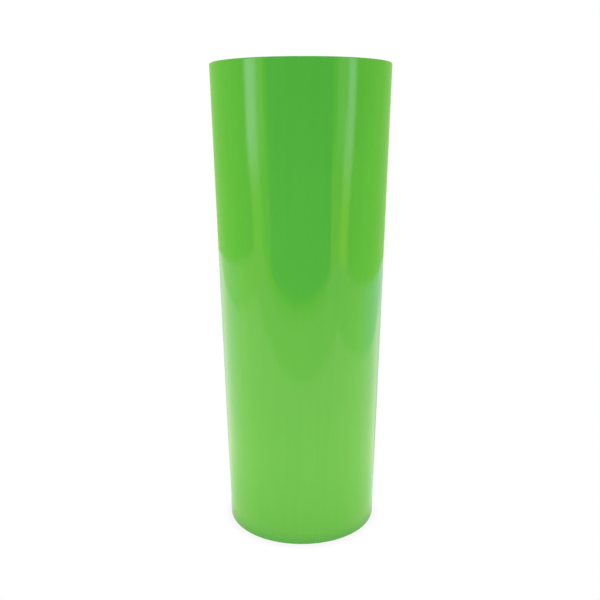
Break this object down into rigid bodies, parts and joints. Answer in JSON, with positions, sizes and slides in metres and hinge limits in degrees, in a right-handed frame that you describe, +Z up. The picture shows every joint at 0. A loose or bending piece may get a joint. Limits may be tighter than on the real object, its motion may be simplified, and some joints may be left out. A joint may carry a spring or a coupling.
{
  "type": "tumbler",
  "caption": "Tall, slightly tapered long-drink tumbler in glossy opaque green plastic, with a plain rounded rim, a flat floor and a recessed foot.",
  "frame": {"origin": "centre of the foot ring, on the surface that the tumbler stands on", "axes": "+Z up along the tumbler's axis, from the foot to the open mouth; X and Y lie in the table's plane, and the tumbler is round, so no direction in it is special"},
  "size_m": [0.0602, 0.0602, 0.16],
  "materials": {
    "cup_plastic": "gloss"
  },
  "bodies": {
    "root": {"cup": "cup_plastic"}
  },
  "joints": []
}
